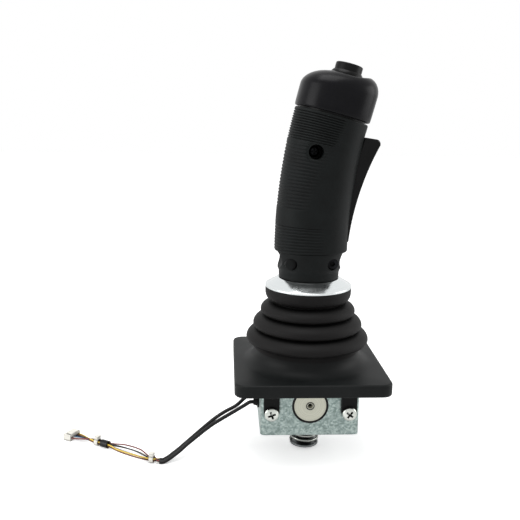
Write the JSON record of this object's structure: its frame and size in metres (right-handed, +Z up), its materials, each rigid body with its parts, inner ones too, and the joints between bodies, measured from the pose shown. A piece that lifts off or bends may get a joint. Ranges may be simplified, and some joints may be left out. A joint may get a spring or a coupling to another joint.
{
  "type": "industrial joystick",
  "caption": "Upright two-axis control lever: contoured grip with index trigger and top push-button, stepped rubber bellows, square skirt, gimbal housing and a short lead.",
  "frame": {"origin": "centre of the four-hole pattern on the underside of the mounting plate, where it rests on the panel", "axes": "+Z up along the upright lever; +X to the trigger's side; -Y towards the face with the grip's screw; cables leave to -X"},
  "size_m": [0.1876, 0.085, 0.2226],
  "materials": {
    "skirt_rubber": "moulded rubber, fine satin grain",
    "bellows_rubber": "moulded rubber, matt",
    "plate_plastic": "moulded glass-filled plastic, matt",
    "diecast": "die-cast, tumbled, mottled grey",
    "gimbal_metal": "die-cast, trunnion faces turned",
    "zinc_screw": "zinc plated",
    "steel": "ground steel",
    "dark_steel": "blackened steel",
    "spring_steel": "oiled spring steel",
    "bush_plastic": "turned bearing plastic",
    "bright_aluminium": "turned, bright",
    "collar_plastic": "moulded, satin",
    "grip_plastic": "moulded, ribbed, fine grain",
    "cap_plastic": "moulded, satin",
    "trigger_plastic": "moulded, satin",
    "button_plastic": "moulded, half gloss",
    "board": "lacquered board",
    "sheath": "extruded PVC sheath",
    "lead_yellow": "extruded PVC",
    "lead_brown": "extruded PVC",
    "lead_black": "extruded PVC",
    "lead_maroon": "extruded PVC",
    "lead_white": "extruded PVC",
    "lead_blue": "extruded PVC",
    "natural_nylon": "moulded natural nylon"
  },
  "bodies": {
    "base": {"skirt": "skirt_rubber", "mounting_plate": "plate_plastic", "housing": "diecast", "tab_screws": "zinc_screw", "pivot_bushes": "bush_plastic", "cable_grommets": "sheath", "sensor_board": "board", "cable_a": "sheath", "cable_b": "sheath", "lead_yellow": "lead_yellow", "lead_brown": "lead_brown", "lead_black": "lead_black", "lead_maroon": "lead_maroon", "lead_white": "lead_white", "lead_blue": "lead_blue", "sheath_tie": "natural_nylon", "lead_sleeve": "sheath", "lead_tie": "natural_nylon", "connector": "natural_nylon"},
    "gimbal": {"gimbal_frame": "gimbal_metal"},
    "lever": {"cross_pin": "steel", "sensor_magnet": "dark_steel", "hub": "steel", "lever_tube": "steel", "spring_seat": "bush_plastic", "return_spring": "spring_steel", "spring_washer": "steel", "retaining_clip": "dark_steel", "bellows": "bellows_rubber", "clamp_ring": "bright_aluminium", "neck_collar": "collar_plastic", "collar_screws": "dark_steel", "clamp_screws": "dark_steel", "grip_front": "grip_plastic", "grip_back": "grip_plastic", "grip_screw": "dark_steel", "trigger_pin": "steel", "head_cap": "cap_plastic", "button_bezel": "button_plastic", "button_switch": "bush_plastic"},
    "trigger": {"trigger": "trigger_plastic"},
    "button": {"button": "button_plastic"}
  },
  "joints": [
    {"name": "tilt_side", "type": "hinge", "parent": "base", "child": "gimbal", "pos_m": [0, 0, -0.012], "axis": [0, 1, 0], "range_deg": [-18, 18], "stiffness_Nm_per_rad": 4, "deforming": ["bellows"]},
    {"name": "tilt_fore", "type": "hinge", "parent": "gimbal", "child": "lever", "pos_m": [0, 0, -0.012], "axis": [1, 0, 0], "range_deg": [-18, 18], "stiffness_Nm_per_rad": 4, "deforming": ["bellows"]},
    {"name": "trigger_pull", "type": "hinge", "parent": "lever", "child": "trigger", "pos_m": [0.0146, 0, 0.084], "axis": [0, -1, 0], "range_deg": [0, 6.5], "stiffness_Nm_per_rad": 0.5, "springref_deg": -11.46},
    {"name": "button_press", "type": "slide", "parent": "lever", "child": "button", "axis": [-0.2504, 0, -0.9681], "range_m": [0, 0.0018], "stiffness_N_per_m": 800, "springref_m": -0.002}
  ]
}
